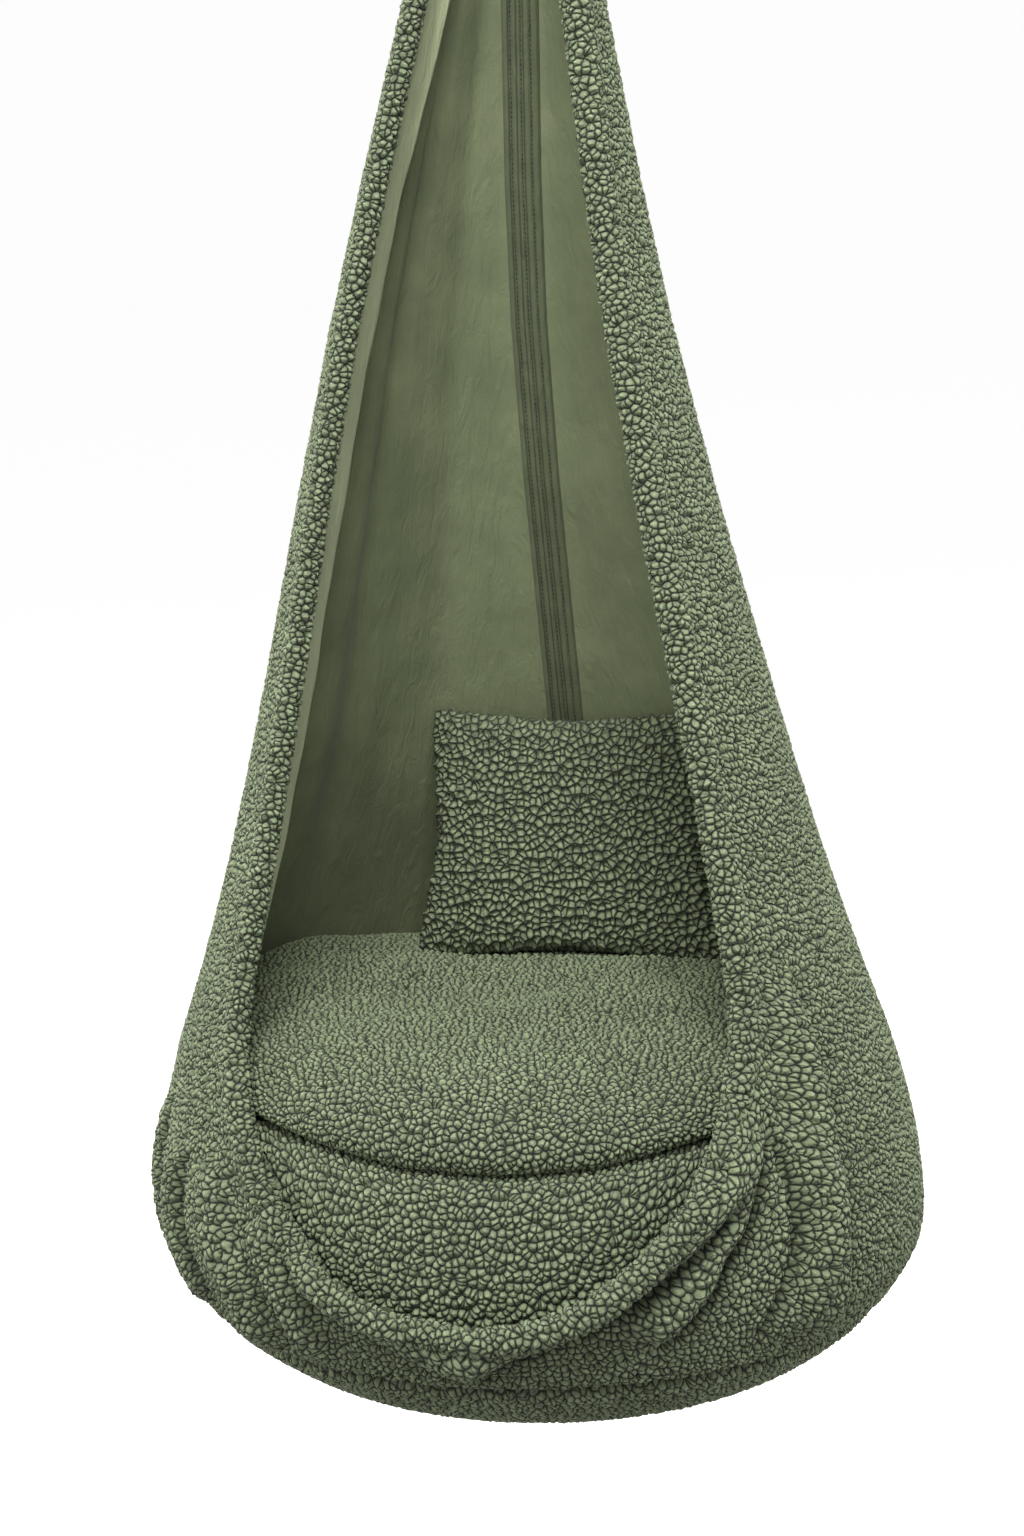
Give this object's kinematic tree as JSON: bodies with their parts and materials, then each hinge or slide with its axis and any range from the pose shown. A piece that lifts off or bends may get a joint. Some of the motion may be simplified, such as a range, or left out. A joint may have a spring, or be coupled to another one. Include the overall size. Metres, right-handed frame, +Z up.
{
  "type": "hanging chair",
  "caption": "Teardrop hanging chair of looped-pile cloth with a tall front opening, rolled rim, lining, seat cushion, loose pillow, gathered neck and swivel hanger.",
  "frame": {"origin": "centre of the eye that goes on the hook", "axes": "+Z up along the hanging line, the opening faces -Y, +X to the right seen from the front"},
  "size_m": [0.7176, 0.7239, 1.6792],
  "materials": {
    "steel": "satin",
    "bearing_steel": "polished",
    "webbing": "woven webbing",
    "collar_cloth": "plain weave",
    "pile_cloth": "looped pile",
    "lining_cloth": "smooth",
    "cord": "braided",
    "filling": "loose fibre"
  },
  "bodies": {
    "hanger": {"swivel_eye": "steel", "swivel_bolt": "steel", "bearing_lower_race": "bearing_steel", "bearing_balls": "bearing_steel"},
    "swivel": {"swivel_jaw": "steel", "bearing_upper_race": "bearing_steel", "clevis_pin": "steel", "clevis_nut": "steel"},
    "ring": {"hanging_ring": "steel"},
    "chair": {"hanging_strap_left": "webbing", "hanging_strap_middle": "webbing", "hanging_strap_right": "webbing", "neck_gather": "pile_cloth", "neck_collar": "collar_cloth", "outer_left_panel": "pile_cloth", "outer_right_panel": "pile_cloth", "upper_left_panel": "pile_cloth", "upper_right_panel": "pile_cloth", "front_panel": "pile_cloth", "base_panel": "pile_cloth", "lining_left_panel": "lining_cloth", "lining_right_panel": "lining_cloth", "lining_base": "lining_cloth", "back_seam_tape": "lining_cloth", "left_rim": "pile_cloth", "right_rim": "pile_cloth", "front_rim": "pile_cloth", "rim_cord": "cord", "cushion_top_cover": "pile_cloth", "cushion_side_cover": "pile_cloth", "cushion_bottom_cover": "pile_cloth", "cushion_filling": "filling"},
    "pillow": {"pillow_front_cover": "pile_cloth", "pillow_back_cover": "pile_cloth", "pillow_filling": "filling"}
  },
  "joints": [
    {"name": "swivel_spin", "type": "hinge", "parent": "hanger", "child": "swivel", "pos_m": [0, 0, -0.049], "axis": [0, 0, 1], "continuous": true},
    {"name": "side_swing", "type": "hinge", "parent": "swivel", "child": "ring", "pos_m": [0, 0, -0.084], "axis": [0, 1, 0], "range_deg": [-30, 30]},
    {"name": "front_swing", "type": "hinge", "parent": "ring", "child": "chair", "pos_m": [0, 0, -0.1302], "axis": [1, 0, 0], "range_deg": [-30, 30]},
    {"name": "pillow_lift_out", "type": "slide", "parent": "chair", "child": "pillow", "axis": [0, -0.9659, 0.2588], "range_m": [0, 0.62]}
  ]
}
